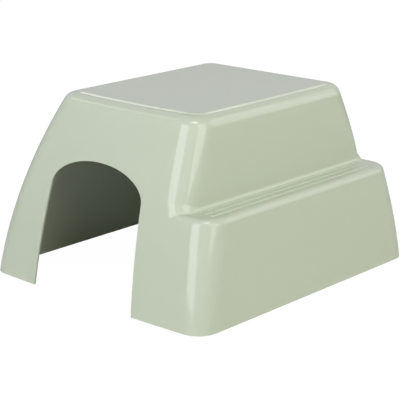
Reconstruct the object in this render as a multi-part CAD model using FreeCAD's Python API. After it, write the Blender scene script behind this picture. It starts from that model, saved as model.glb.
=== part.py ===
import FreeCAD, Part
import math
import os
from FreeCAD import Vector

# Rabbit house, moulded in one piece: open underneath, a door in the front wall, a step on one side.
# It stands on the floor at z = 0. The front faces -Y and the step is on the +X side.
# All sizes are in millimetres and all leans are in degrees from upright.

# size of the house between the sharp corners of its walls, and the wall it is moulded in
floor_width = 380.0
floor_depth = 423.0
roof_height = 242.0
wall = 2.5

# lean of each wall where it starts and where it ends; between them the wall is an arc
left_lean_low = 7.0
left_lean_high = 26.2
front_lean_low = 8.0
front_lean_high = 22.9
step_lean_low = 2.6
step_lean_high = 7.5
upper_lean_low = 1.4
upper_lean_high = 6.4

# how far a wall bows out between its two corners; the right one grows from nothing at the floor
front_bow = 4.7
back_bow = 0.4
upper_bow = 2.1

# the step on the right side
step_height = 132.8
step_width = 43.6
step_edge_radius = 9.2
step_foot_radius = 6.0

# rounding of the upright corners, which grows upwards, and of the roof's edge
left_corner_floor_radius = 28.6
left_corner_top_radius = 34.5
step_corner_floor_radius = 28.0
step_corner_top_radius = 32.5
upper_front_foot_radius = 30.0
upper_front_top_radius = 32.0
upper_back_foot_radius = 24.0
upper_back_top_radius = 31.0
roof_edge_radius = 17.0

# raised panel of the roof, with sloped sides
panel_rise = 2.0
panel_margin = 13.1
panel_corner_radius = 14.0
panel_edge_radius = 1.2

# raised ribs that run along the step
rib_count = 3
rib_width = 5.4
rib_gap = 6.0
rib_rise = 1.2
rib_edge_radius = 1.0
rib_wall_distance = 0.5
rib_end_clearance = 14.0

# door in the front wall: upright sides that lean together, and an elliptic arch
door_offset = -11.5
door_width = 178.0
door_lean = 3.45
door_spring_height = 134.0
door_arch_rise = 38.5

# number of heights at which a bowed wall is drawn
wall_sections = 6

# how far the cutting shapes reach past the part, and the upper block's ledge past its foot rounding
overrun = 30.0
spare = 5.0
ledge_reach = 4.0

# faces of the two blocks that lie nearer than this are joined as one
join_tolerance = 0.005


def inset_of(height, lean_low, lean_high, span, depth):
    """Inward distance of an arched wall at a height, for the wall's face moved in by a depth."""
    low = math.sin(math.radians(lean_low))
    high = math.sin(math.radians(lean_high))
    radius = span / (high - low)
    centre_height = -radius * low
    centre_inset = radius * math.cos(math.radians(lean_low))
    return centre_inset - math.sqrt((radius - depth) ** 2 - (height - centre_height) ** 2)


def left_x(height, depth):
    """Place of the left wall's face."""
    return -floor_width / 2 + inset_of(height, left_lean_low, left_lean_high, roof_height, depth)


def step_x(height, depth):
    """Place of the face of the lower right wall, under the step."""
    return floor_width / 2 - inset_of(height, step_lean_low, step_lean_high, step_height, depth)


def upper_x(height, depth):
    """Place of the face of the upper right wall, at its corners."""
    foot = step_x(step_height, 0.0) - step_width
    span = roof_height - step_height
    return foot - inset_of(height - step_height, upper_lean_low, upper_lean_high, span, depth)


def back_y(height, depth):
    """Place of the back wall's face at its corners; the front wall's stand as far in front."""
    return floor_depth / 2 - inset_of(height, front_lean_low, front_lean_high, roof_height, depth)


def bow_radius(half_width, bow):
    """Radius of the arc that stands out by a bow over a half width."""
    return (half_width * half_width + bow * bow) / (2 * bow)


def bow_span(height):
    """Middle and half width of the front and back walls' bow at a height."""
    left = left_x(height, 0.0)
    right = floor_width / 2 + (upper_x(roof_height, 0.0) - floor_width / 2) * height / roof_height
    return (left + right) / 2, (right - left) / 2


def wall_point(x, height, depth, bow):
    """Point on the face of the back wall, for a given bow."""
    middle, half = bow_span(height)
    radius = bow_radius(half, bow)
    drop = radius - math.sqrt(radius * radius - (x - middle) ** 2)
    return Vector(x, back_y(height, depth) + bow - drop, height)


def corner_points(x, height, depth):
    """Points near the two upright edges that a side wall at x makes with the front and back walls."""
    back = Vector(x, back_y(height, depth), height)
    return [back, Vector(back.x, -back.y, back.z)]


def levels(low, high):
    """Heights at which a bowed wall is drawn."""
    return [low + (high - low) * number / (wall_sections - 1) for number in range(wall_sections)]


def before_wall(depth, low, high, bow):
    """Solid that fills everything in front of a bowed back wall's face, over a range of heights."""
    sections = []
    for height in levels(low, high):
        middle, half = bow_span(height)
        reach = half + overrun + bow
        start = wall_point(middle - reach, height, depth, bow)
        crown = wall_point(middle, height, depth, bow)
        end = wall_point(middle + reach, height, depth, bow)
        front_right = Vector(end.x, -floor_depth, height)
        front_left = Vector(start.x, -floor_depth, height)
        face_edge = Part.Arc(start, crown, end).toShape()
        rest = Part.makePolygon([end, front_right, front_left, start])
        sections.append(Part.Wire([face_edge] + rest.Edges))
    return Part.makeLoft(sections, True)


def between_walls(depth, low, high):
    """Solid that fills everything between the faces of the front and back walls."""
    front = before_wall(depth, low, high, front_bow).mirror(Vector(0, 0, 0), Vector(0, 1, 0))
    return before_wall(depth, low, high, back_bow).common(front)


def beyond_upper_wall(depth, low, high):
    """Solid that fills everything to the right of the bowed face of the upper right wall."""
    sections = []
    reach = floor_depth / 2 + overrun
    for height in levels(low, high):
        bow = upper_bow * (height / roof_height) ** 2
        radius = bow_radius(back_y(height, 0.0), bow)
        crown = Vector(upper_x(height, depth) + bow, 0, height)
        drop = radius - math.sqrt(radius * radius - reach * reach)
        front = Vector(crown.x - drop, -reach, height)
        back = Vector(crown.x - drop, reach, height)
        right_back = Vector(floor_width, reach, height)
        right_front = Vector(floor_width, -reach, height)
        face_edge = Part.Arc(front, crown, back).toShape()
        rest = Part.makePolygon([back, right_back, right_front, front])
        sections.append(Part.Wire([face_edge] + rest.Edges))
    return Part.makeLoft(sections, True)


def wall_face(place, low, high, depth):
    """Arc that an unbowed wall's face follows upwards, in the plane y = 0."""
    points = [Vector(place(level, depth), 0, level) for level in (low, (low + high) / 2, high)]
    return Part.Arc(*points).toShape()


def drawn_out(face_edge, far):
    """Solid between an unbowed wall's face and a far upright plane, drawn out to both sides."""
    ends = sorted((vertex.Point for vertex in face_edge.Vertexes), key=lambda point: point.z)
    low_far = Vector(far, 0, ends[0].z)
    high_far = Vector(far, 0, ends[1].z)
    rest = Part.makePolygon([ends[0], low_far, high_far, ends[1]])
    face = Part.Face(Part.Wire([face_edge] + rest.Edges))
    face.translate(Vector(0, -floor_depth, 0))
    return face.extrude(Vector(0, 2 * floor_depth, 0))


def beside_left(depth, low, high):
    """Solid that fills everything to the right of the left wall's face."""
    return drawn_out(wall_face(left_x, low, high, depth), floor_width)


def under_step(depth, low, high):
    """Solid that fills everything to the left of the lower right wall's face."""
    return drawn_out(wall_face(step_x, low, high, depth), -floor_width)


def edge_at(shape, point):
    """The shape's edge that lies nearest to a point."""
    mark = Part.Vertex(point)
    return min(shape.Edges, key=lambda edge: edge.distToShape(mark)[0])


def rounded(shape, radius, points):
    """Shape with the edges nearest to the points rounded, and every edge that runs on from them."""
    return shape.makeFillet(radius, [edge_at(shape, point) for point in points]).Solids[0]


def rounded_upwards(shape, depth, low_radius, high_radius, points):
    """Shape with the upright edges nearest to the points rounded by a radius that changes upwards."""
    for point in points:
        edge = edge_at(shape, point)
        radii = [low_radius - depth, high_radius - depth]
        if edge.firstVertex().Z > edge.lastVertex().Z:
            radii.reverse()
        shape = shape.makeFillet(radii[0], radii[1], [edge]).Solids[0]
    return shape


def upper_block(depth, low):
    """Full block of the house without its step, with a ledge at the upper right wall's foot."""
    top = roof_height - depth
    tread = step_height - depth
    foot_x = upper_x(tread, depth)
    foot_radius = step_foot_radius + depth
    ledge_end = foot_x + foot_radius + ledge_reach
    corner = Vector(ledge_end, -floor_depth, low - overrun)
    beyond_ledge = Part.makeBox(floor_width, 2 * floor_depth, top - low + 2 * overrun, corner)
    block = between_walls(depth, low, top).common(beside_left(depth, low - spare, top + spare))
    block = block.cut(beyond_upper_wall(depth, tread, top + spare)).cut(beyond_ledge).Solids[0]
    block = rounded(block, foot_radius, [Vector(foot_x, 0, tread)])
    middle = (low + tread) / 2
    left_corners = corner_points(left_x(middle, depth), middle, depth)
    block = rounded_upwards(block, depth, left_corner_floor_radius, left_corner_top_radius, left_corners)
    middle = (tread + top) / 2
    right_corners = corner_points(upper_x(middle, depth), middle, depth)
    back_corner, front_corner = right_corners
    block = rounded_upwards(block, depth, upper_front_foot_radius, upper_front_top_radius, [front_corner])
    block = rounded_upwards(block, depth, upper_back_foot_radius, upper_back_top_radius, [back_corner])
    return rounded(block, roof_edge_radius - depth, [Vector(left_x(top, depth), 0, top)])


def lower_block(depth, low):
    """Full block of the house up to the step, cut off where the upper block's corners begin."""
    tread = step_height - depth
    block = between_walls(depth, low, tread).common(under_step(depth, low - spare, tread + spare)).Solids[0]
    middle = (low + tread) / 2
    step_corners = corner_points(step_x(middle, depth), middle, depth)
    block = rounded_upwards(block, depth, step_corner_floor_radius, step_corner_top_radius, step_corners)
    block = rounded(block, step_edge_radius - depth, [Vector(step_x(tread, depth), 0, tread)])
    start = upper_x(tread, depth) - upper_front_foot_radius - overrun
    corner = Vector(start, -floor_depth, low - overrun)
    return block.common(Part.makeBox(floor_width, 2 * floor_depth, step_height + 2 * overrun, corner))


def rounded_block(depth, low):
    """The house as a full block with its walls' faces moved in by a depth, and all its rounding."""
    both = upper_block(depth, low).fuse([lower_block(depth, low)], join_tolerance)
    return both.removeSplitter().Solids[0]


def roof_panel():
    """Raised panel of the roof, with the house's own bow in its front and right edges."""
    left = left_x(roof_height, 0.0) + panel_margin
    right = upper_x(roof_height, 0.0) - panel_margin
    back = back_y(roof_height, 0.0) - panel_margin
    seat = roof_height - panel_rise
    front_left = Vector(left, -back, seat)
    front_right = Vector(right, -back, seat)
    back_right = Vector(right, back, seat)
    back_left = Vector(left, back, seat)
    front_edge = Part.Arc(front_left, Vector((left + right) / 2, -back - front_bow, seat), front_right)
    right_edge = Part.Arc(front_right, Vector(right + upper_bow, 0, seat), back_right)
    straight = Part.makePolygon([back_right, back_left, front_left])
    outline = Part.Wire([front_edge.toShape(), right_edge.toShape()] + straight.Edges)
    panel = Part.Face(outline).extrude(Vector(0, 0, 2 * panel_rise))
    upright = [edge for edge in panel.Edges if edge.BoundBox.ZLength > panel_rise]
    panel = panel.makeFillet(panel_corner_radius, upright)
    panel = panel.makeChamfer(panel_rise, top_edges(panel))
    return panel.makeFillet(panel_edge_radius, top_edges(panel))


def top_edges(solid):
    """Edges that lie at the highest level of a solid."""
    highest = max(vertex.Z for vertex in solid.Vertexes)
    return [edge for edge in solid.Edges if edge.CenterOfMass.z > highest - 0.01]


def step_ribs():
    """Raised ribs on the step, side by side from the foot of the upper wall outwards."""
    start = upper_x(step_height, 0.0) + rib_wall_distance
    end = back_y(step_height, 0.0) - step_edge_radius - rib_end_clearance
    ribs = []
    for number in range(rib_count):
        near = start + number * (rib_width + rib_gap)
        rib = Part.makeBox(rib_width, 2 * end, 2 * rib_rise, Vector(near, -end, step_height - rib_rise))
        upright = [edge for edge in rib.Edges if edge.BoundBox.ZLength > rib_rise]
        rib = rib.makeFillet(rib_width / 3, upright)
        ribs.append(rib.makeFillet(rib_edge_radius, top_edges(rib)))
    return ribs


def door_opening():
    """Solid that cuts the door through the front wall."""
    lean = math.tan(math.radians(door_lean))
    half_top = door_width / 2 - door_spring_height * lean
    start_angle = math.atan(lean * door_arch_rise / half_top)
    centre_height = door_spring_height - door_arch_rise * math.sin(start_angle)
    centre = Vector(door_offset, 0, centre_height)
    widest = centre + Vector(half_top, 0, 0)
    crown = centre + Vector(0, 0, door_arch_rise)
    ellipse = Part.Ellipse(widest, crown, centre)
    arch = Part.ArcOfEllipse(ellipse, start_angle, math.pi - start_angle).toShape()
    right_spring = arch.Vertexes[0].Point
    left_spring = arch.Vertexes[1].Point
    drop = overrun * lean
    right_foot = Vector(door_offset + door_width / 2 + drop, 0, -overrun)
    left_foot = Vector(door_offset - door_width / 2 - drop, 0, -overrun)
    sides = Part.makePolygon([left_spring, left_foot, right_foot, right_spring])
    face = Part.Face(Part.Wire([arch] + sides.Edges))
    return face.extrude(Vector(0, -floor_depth, 0))


def house_shell():
    """The whole moulding, with the middle of its box over the origin."""
    outside = rounded_block(0.0, 0.0)
    for raised in [roof_panel()] + step_ribs():
        outside = outside.fuse(raised)
    inside = rounded_block(wall, -overrun)
    shell = outside.cut(inside).cut(door_opening()).removeSplitter().Solids[0]
    middle = shell.optimalBoundingBox(False, False).Center
    shell.translate(Vector(-middle.x, -middle.y, 0))
    return shell


os.makedirs("parts", exist_ok=True)
shell = house_shell()
shell.exportStep("parts/house_shell.step")
box = shell.optimalBoundingBox(False, False)
print("house_shell", shell.isValid(), len(shell.Solids), len(shell.Faces), "volume", round(shell.Volume), box)
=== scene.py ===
"""Looks of the moulded plastic rabbit house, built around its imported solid.

Lengths are in metres and angles in degrees. The house stands on the floor at z = 0. Its front faces -Y
and its step is on the +X side.
"""

import logging
import math
from dataclasses import dataclass, field
from enum import Enum

import bpy
from mathutils import Matrix, Quaternion, Vector

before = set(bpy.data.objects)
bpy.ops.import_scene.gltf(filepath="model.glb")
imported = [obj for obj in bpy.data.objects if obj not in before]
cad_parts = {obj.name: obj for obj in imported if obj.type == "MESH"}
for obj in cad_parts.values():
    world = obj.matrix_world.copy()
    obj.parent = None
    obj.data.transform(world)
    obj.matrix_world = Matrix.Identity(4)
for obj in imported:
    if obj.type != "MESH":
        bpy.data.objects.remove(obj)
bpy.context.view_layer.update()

LOG = logging.getLogger("rabbit_house")

COLUMN_WIDTH = 220
ROW_HEIGHT = 260

MIX_FACTOR = 0
MIX_FIRST_COLOUR = 6
MIX_SECOND_COLOUR = 7
MIX_COLOUR_RESULT = 2

WHITE = (1.0, 1.0, 1.0, 1.0)


class Coordinates(Enum):
    """Where a pattern or a fade is laid out."""

    OBJECT = "Object"
    GENERATED = "Generated"


class NodeSheet:
    """Helper that adds and joins the nodes of one node tree."""

    def __init__(self, tree: bpy.types.NodeTree) -> None:
        """Keeps the tree that nodes are added to."""
        self.tree = tree

    def add(self, kind: str, place: tuple[int, int], **settings: object) -> bpy.types.Node:
        """Adds a node.

        Args:
            kind: Blender's name for the type of node.
            place: column and row in the node editor.
            settings: attributes of the node.

        Returns:
            The new node.
        """
        node = self.tree.nodes.new(kind)
        node.location = (COLUMN_WIDTH * place[0], -ROW_HEIGHT * place[1])
        for name, value in settings.items():
            setattr(node, name, value)
        return node

    def join(self, source: bpy.types.NodeSocket, target: bpy.types.NodeSocket) -> None:
        """Links an output to an input."""
        self.tree.links.new(source, target)

    def calculate(
        self, operation: str, place: tuple[int, int], *values: bpy.types.NodeSocket | float
    ) -> bpy.types.NodeSocket:
        """Adds a Math node that works on sockets or plain numbers.

        Args:
            operation: Blender's name for the operation.
            place: column and row in the node editor.
            values: what the operation takes, in order.

        Returns:
            The output with the result.
        """
        node = self.add("ShaderNodeMath", place, operation=operation)
        for entry, value in zip(node.inputs, values):
            if isinstance(value, bpy.types.NodeSocket):
                self.join(value, entry)
            else:
                entry.default_value = value
        return node.outputs[0]

    def spread(
        self, value: bpy.types.NodeSocket, place: tuple[int, int],
        source: tuple[float, float], target: tuple[float, float]
    ) -> bpy.types.NodeSocket:
        """Adds a Map Range node that carries one range over to another.

        Args:
            value: the output that is carried over.
            place: column and row in the node editor.
            source: lowest and highest value that comes in.
            target: the values that these two become.

        Returns:
            The output with the result.
        """
        node = self.add("ShaderNodeMapRange", place)
        node.inputs["From Min"].default_value = source[0]
        node.inputs["From Max"].default_value = source[1]
        node.inputs["To Min"].default_value = target[0]
        node.inputs["To Max"].default_value = target[1]
        self.join(value, node.inputs["Value"])
        return node.outputs["Result"]

    def mirrored_rays(self, path: bpy.types.Node, place: tuple[int, int]) -> bpy.types.NodeSocket:
        """Marks the rays that come from gloss or through a clear material.

        Args:
            path: a Light Path node.
            place: column and row in the node editor.

        Returns:
            An output that is 1 for such a ray and 0 for the others.
        """
        return self.calculate(
            "MAXIMUM", place, path.outputs["Is Glossy Ray"], path.outputs["Is Transmission Ray"]
        )


@dataclass(frozen=True)
class MouldedSkin:
    """Node group for the skin of a moulded plastic sheet: a faint swell, a fine grain and a cloudy tone."""

    name: str = "moulded_skin"
    swell_scale: float = 9.0
    swell_height: float = 0.6
    swell_detail: float = 1.0
    cloud_scale: float = 6.0
    cloud_detail: float = 3.0
    grain_scale: float = 900.0
    grain_height: float = 0.02
    grain_detail: float = 2.0

    def build(self) -> bpy.types.NodeTree:
        """Builds the node group.

        Returns:
            The group, with the outputs Height and Cloud.
        """
        group = bpy.data.node_groups.new(self.name, "ShaderNodeTree")
        self.add_sockets(group)
        sheet = NodeSheet(group)
        given = sheet.add("NodeGroupInput", (0, 0))
        made = sheet.add("NodeGroupOutput", (5, 0))
        place = sheet.add("ShaderNodeTexCoord", (0, 2))
        noises = {}
        details = {"Swell": self.swell_detail, "Cloud": self.cloud_detail, "Grain": self.grain_detail}
        for row, (layer, detail) in enumerate(details.items()):
            noise = sheet.add("ShaderNodeTexNoise", (1, row))
            noise.inputs["Detail"].default_value = detail
            sheet.join(place.outputs[Coordinates.OBJECT.value], noise.inputs["Vector"])
            sheet.join(given.outputs[f"{layer} Scale"], noise.inputs["Scale"])
            noises[layer] = noise.outputs["Fac"]
        raised = sheet.calculate("MULTIPLY", (3, 0), noises["Swell"], given.outputs["Swell Height"])
        rough = sheet.calculate("MULTIPLY", (3, 1), noises["Grain"], given.outputs["Grain Height"])
        sheet.join(sheet.calculate("ADD", (4, 0), raised, rough), made.inputs["Height"])
        sheet.join(noises["Cloud"], made.inputs["Cloud"])
        return group

    def add_sockets(self, group: bpy.types.NodeTree) -> None:
        """Gives the group its named inputs and outputs.

        Args:
            group: the node group.
        """
        inputs = {
            "Swell Scale": self.swell_scale,
            "Cloud Scale": self.cloud_scale,
            "Grain Scale": self.grain_scale,
            "Swell Height": self.swell_height,
            "Grain Height": self.grain_height,
        }
        for name, value in inputs.items():
            entry = group.interface.new_socket(name=name, in_out="INPUT", socket_type="NodeSocketFloat")
            entry.default_value = value
        for name in ("Height", "Cloud"):
            group.interface.new_socket(name=name, in_out="OUTPUT", socket_type="NodeSocketFloat")


@dataclass(frozen=True)
class GlossPlastic:
    """Finish of the house: a smooth gloss plastic, pale grey green, slightly deeper in tone in places."""

    name: str = "pale_green_gloss_plastic"
    tint: tuple[float, float, float] = (0.555, 0.61, 0.458)
    deep_tint: tuple[float, float, float] = (0.54, 0.594, 0.442)
    cloud_range: tuple[float, float] = (0.3, 0.7)
    roughness_range: tuple[float, float] = (0.06, 0.10)
    reflectance: float = 1.48
    bump_distance: float = 0.0004
    bump_strength: float = 0.2

    def build(self, skin: bpy.types.NodeTree) -> bpy.types.Material:
        """Builds the material.

        Args:
            skin: the node group of the moulded skin.

        Returns:
            The material.
        """
        material = bpy.data.materials.new(self.name)
        material.use_nodes = True
        material.node_tree.nodes.clear()
        sheet = NodeSheet(material.node_tree)
        output = sheet.add("ShaderNodeOutputMaterial", (6, 0))
        shader = sheet.add("ShaderNodeBsdfPrincipled", (5, 0))
        group = sheet.add("ShaderNodeGroup", (1, 0), node_tree=skin)
        colour = sheet.add("ShaderNodeMix", (3, 0), data_type="RGBA")
        colour.inputs[MIX_FIRST_COLOUR].default_value = (*self.deep_tint, 1.0)
        colour.inputs[MIX_SECOND_COLOUR].default_value = (*self.tint, 1.0)
        sheet.join(group.outputs["Cloud"], colour.inputs[MIX_FACTOR])
        sheet.join(colour.outputs[MIX_COLOUR_RESULT], shader.inputs["Base Color"])
        roughness = sheet.spread(group.outputs["Cloud"], (2, 1), self.cloud_range, self.roughness_range)
        sheet.join(roughness, shader.inputs["Roughness"])
        bump = sheet.add("ShaderNodeBump", (4, 2))
        bump.inputs["Strength"].default_value = self.bump_strength
        bump.inputs["Distance"].default_value = self.bump_distance
        sheet.join(group.outputs["Height"], bump.inputs["Height"])
        sheet.join(bump.outputs["Normal"], shader.inputs["Normal"])
        shader.inputs["IOR"].default_value = self.reflectance
        sheet.join(shader.outputs["BSDF"], output.inputs["Surface"])
        return material


@dataclass
class HouseShell:
    """The house itself, moulded in one piece."""

    node: str = "house_shell"
    finish: GlossPlastic = field(default_factory=GlossPlastic)
    skin: MouldedSkin = field(default_factory=MouldedSkin)

    def build(self) -> bpy.types.Object:
        """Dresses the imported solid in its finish.

        Returns:
            The dressed object.
        """
        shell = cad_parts[self.node]
        material = self.finish.build(self.skin.build())
        shell.data.materials.clear()
        shell.data.materials.append(material)
        return shell


@dataclass
class StudioFloor:
    """Plain pale floor and the even light around it."""

    half_size: float = 6.0
    floor_tint: tuple[float, float, float] = (0.80, 0.80, 0.80)
    shown_share: float = 0.93
    gloss_share: float = 0.08
    shown_strength: float = 1.06
    horizon_light: float = 0.90
    zenith_light: float = 0.06
    zenith_height: float = 0.5
    backdrop_tint: tuple[float, float, float] = (0.99, 1.0, 1.06)
    mirrored_horizon: float = 0.55
    mirrored_sky: float = 1.35
    mirrored_height: float = 0.60

    def build(self) -> bpy.types.Object:
        """Builds the floor and the world.

        Returns:
            The floor.
        """
        half = self.half_size
        mesh = bpy.data.meshes.new("studio_floor")
        corners = [(-half, -half, 0.0), (half, -half, 0.0), (half, half, 0.0), (-half, half, 0.0)]
        mesh.from_pydata(corners, [], [(0, 1, 2, 3)])
        floor = bpy.data.objects.new("studio_floor", mesh)
        bpy.context.scene.collection.objects.link(floor)
        floor.data.materials.append(self.floor_material())
        self.light_world()
        return floor

    def floor_material(self) -> bpy.types.Material:
        """Builds the floor's material: matt white, lifted to plain white where the camera sees it.

        Returns:
            The material.
        """
        material = bpy.data.materials.new("studio_floor_white")
        material.use_nodes = True
        material.node_tree.nodes.clear()
        sheet = NodeSheet(material.node_tree)
        output = sheet.add("ShaderNodeOutputMaterial", (5, 0))
        matt = sheet.add("ShaderNodeBsdfDiffuse", (2, 0))
        matt.inputs["Color"].default_value = (*self.floor_tint, 1.0)
        glow = sheet.add("ShaderNodeEmission", (2, 1))
        glow.inputs["Strength"].default_value = self.shown_strength
        path = sheet.add("ShaderNodeLightPath", (0, 2))
        seen = sheet.calculate("MULTIPLY", (1, 2), path.outputs["Is Camera Ray"], self.shown_share)
        mirrored = sheet.calculate("MULTIPLY", (2, 3), sheet.mirrored_rays(path, (1, 3)), self.gloss_share)
        share = sheet.calculate("MAXIMUM", (3, 2), seen, mirrored)
        mix = sheet.add("ShaderNodeMixShader", (4, 0))
        sheet.join(share, mix.inputs[0])
        sheet.join(matt.outputs[0], mix.inputs[1])
        sheet.join(glow.outputs[0], mix.inputs[2])
        sheet.join(mix.outputs[0], output.inputs["Surface"])
        return material

    def light_world(self) -> None:
        """Sets the world: a light that fades upwards, and the white backdrop that camera and gloss see."""
        world = bpy.data.worlds.new("studio_world")
        bpy.context.scene.world = world
        world.use_nodes = True
        world.node_tree.nodes.clear()
        sheet = NodeSheet(world.node_tree)
        output = sheet.add("ShaderNodeOutputWorld", (5, 0))
        direction = sheet.add("ShaderNodeTexCoord", (-1, 0))
        parts = sheet.add("ShaderNodeSeparateXYZ", (0, 0))
        sheet.join(direction.outputs[Coordinates.GENERATED.value], parts.inputs[0])
        height = parts.outputs["Z"]
        light = sheet.add("ShaderNodeBackground", (2, 0))
        light.inputs["Color"].default_value = WHITE
        fade = sheet.spread(
            height, (1, 0), (0.0, self.zenith_height), (self.horizon_light, self.zenith_light)
        )
        sheet.join(fade, light.inputs["Strength"])
        backdrop = sheet.add("ShaderNodeBackground", (2, 1))
        backdrop.inputs["Color"].default_value = (*self.backdrop_tint, 1.0)
        path = sheet.add("ShaderNodeLightPath", (0, 2))
        mirrored = sheet.spread(
            height, (1, 1), (0.0, self.mirrored_height), (self.mirrored_horizon, self.mirrored_sky)
        )
        strength = sheet.calculate("MAXIMUM", (2, 4), mirrored, path.outputs["Is Camera Ray"])
        sheet.join(strength, backdrop.inputs["Strength"])
        seen = sheet.calculate(
            "MAXIMUM", (2, 3), path.outputs["Is Camera Ray"], sheet.mirrored_rays(path, (1, 3))
        )
        mix = sheet.add("ShaderNodeMixShader", (4, 0))
        sheet.join(seen, mix.inputs[0])
        sheet.join(light.outputs[0], mix.inputs[1])
        sheet.join(backdrop.outputs[0], mix.inputs[2])
        sheet.join(mix.outputs[0], output.inputs["Surface"])


def direction_from(azimuth: float, elevation: float) -> Vector:
    """Gives the direction from the house to a place around it.

    Args:
        azimuth: turn from the front towards the step's side.
        elevation: rise above the floor.

    Returns:
        The direction, of length 1.
    """
    turn, rise = math.radians(azimuth), math.radians(elevation)
    return Vector((math.sin(turn) * math.cos(rise), -math.cos(turn) * math.cos(rise), math.sin(rise)))


@dataclass(frozen=True)
class Softbox:
    """A flat studio lamp that faces the house."""

    name: str
    azimuth: float
    elevation: float
    width: float
    height: float
    radiance: float
    distance: float = 3.0
    tint: tuple[float, float, float] = (1.0, 1.0, 1.0)
    roll: float = 0.0
    aim: tuple[float, float, float] = (0.0, 0.0, 0.12)

    def build(self) -> bpy.types.Object:
        """Builds the lamp.

        Returns:
            The lamp's object.
        """
        away = direction_from(self.azimuth, self.elevation)
        lamp = bpy.data.lights.new(self.name, "AREA")
        lamp.shape = "RECTANGLE"
        lamp.color = self.tint
        lamp.size = self.width
        lamp.size_y = self.height
        lamp.energy = math.pi * self.width * self.height * self.radiance
        lamp_object = bpy.data.objects.new(self.name, lamp)
        lamp_object.location = Vector(self.aim) + self.distance * away
        tilt = Quaternion((0.0, 0.0, 1.0), math.radians(self.roll))
        lamp_object.rotation_euler = (away.to_track_quat("Z", "Y") @ tilt).to_euler()
        bpy.context.scene.collection.objects.link(lamp_object)
        return lamp_object


@dataclass(frozen=True)
class PhotoCamera:
    """Camera at the photograph's viewing angle."""

    azimuth: float = 42.476
    elevation: float = 16.214
    roll: float = -0.21
    distance: float = 1.8511
    target: tuple[float, float, float] = (-0.001994, -0.00091, 0.08743)
    focal_length: float = 123.82
    sensor_width: float = 36.0

    def build(self) -> bpy.types.Object:
        """Builds the camera and makes it the scene's.

        Returns:
            The camera's object.
        """
        turn, roll = math.radians(self.azimuth), math.radians(self.roll)
        back = direction_from(self.azimuth, self.elevation)
        level_right = Vector((math.cos(turn), math.sin(turn), 0.0))
        level_up = back.cross(level_right)
        right = level_right * math.cos(roll) + level_up * math.sin(roll)
        up = level_up * math.cos(roll) - level_right * math.sin(roll)
        lens = bpy.data.cameras.new("photo_camera")
        lens.lens = self.focal_length
        lens.sensor_width = self.sensor_width
        lens.sensor_fit = "HORIZONTAL"
        camera = bpy.data.objects.new("photo_camera", lens)
        place = Vector(self.target) + self.distance * back
        camera.matrix_world = Matrix((
            (right.x, up.x, back.x, place.x),
            (right.y, up.y, back.y, place.y),
            (right.z, up.z, back.z, place.z),
            (0.0, 0.0, 0.0, 1.0),
        ))
        bpy.context.scene.collection.objects.link(camera)
        bpy.context.scene.camera = camera
        return camera


@dataclass
class Studio:
    """The floor, the lamps and the camera.

    The two rim lamps are narrow and tilted, so that the sloped sides of the roof panel catch them in lines.
    """

    floor: StudioFloor = field(default_factory=StudioFloor)
    camera: PhotoCamera = field(default_factory=PhotoCamera)
    softboxes: tuple[Softbox, ...] = (
        Softbox("left_softbox", azimuth=-4.0, elevation=18.0, width=1.90, height=2.3, radiance=3.0,
                tint=(0.97, 1.0, 1.12)),
        Softbox("right_softbox", azimuth=78.0, elevation=28.0, width=1.75, height=2.3, radiance=2.35),
        Softbox("front_lamp", azimuth=42.5, elevation=65.0, width=1.05, height=0.50, radiance=9.0),
        Softbox("back_right_lamp", azimuth=138.0, elevation=28.0, width=1.8, height=2.0, radiance=1.4),
        Softbox("left_rim_lamp", azimuth=-73.3, elevation=42.8, width=1.15, height=0.18, radiance=3.4,
                roll=53.0),
        Softbox("back_rim_lamp", azimuth=164.4, elevation=39.2, width=0.8, height=0.18, radiance=2.4,
                roll=-57.0),
    )

    def build(self) -> None:
        """Builds all of the studio and sets plain colour handling."""
        self.floor.build()
        for softbox in self.softboxes:
            softbox.build()
            LOG.info("%s: radiance %.2f", softbox.name, softbox.radiance)
        self.camera.build()
        bpy.context.scene.view_settings.view_transform = "Standard"


def main() -> None:
    """Builds the house, then the studio around it."""
    logging.basicConfig(level=logging.INFO, format="%(name)s: %(message)s")
    shell = HouseShell().build()
    LOG.info("%s: %d faces", shell.name, len(shell.data.polygons))
    Studio().build()
    LOG.info("studio ready")


if __name__ == "__main__":
    main()
